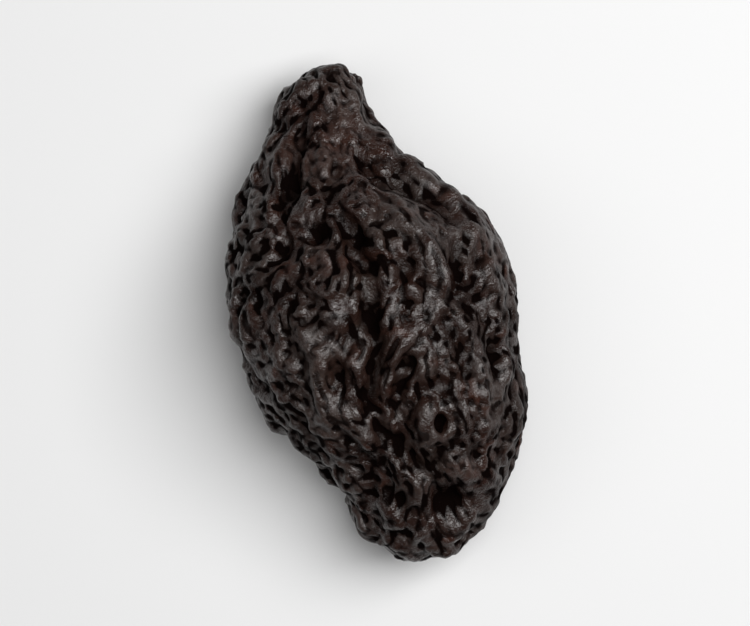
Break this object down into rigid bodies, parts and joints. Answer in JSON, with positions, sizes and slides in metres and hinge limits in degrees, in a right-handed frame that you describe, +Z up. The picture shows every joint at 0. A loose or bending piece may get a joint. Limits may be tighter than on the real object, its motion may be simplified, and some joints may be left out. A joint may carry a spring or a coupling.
{
  "type": "prune",
  "caption": "Whole dried plum, wrinkled and near black, oval with a blunt stem neck, lying on its flatter side.",
  "frame": {"origin": "middle of the footprint, on the surface that the prune lies on", "axes": "+Y along the fruit from the blossom end to the stem neck, +Z up out of the surface, +X across it"},
  "size_m": [0.0232, 0.0408, 0.0162],
  "materials": {
    "skin": "near-black brown wrinkled fruit skin with a soft waxy gloss on the folds, and a reddish-brown tint at the neck"
  },
  "bodies": {
    "root": {"prune": "skin"}
  },
  "joints": []
}
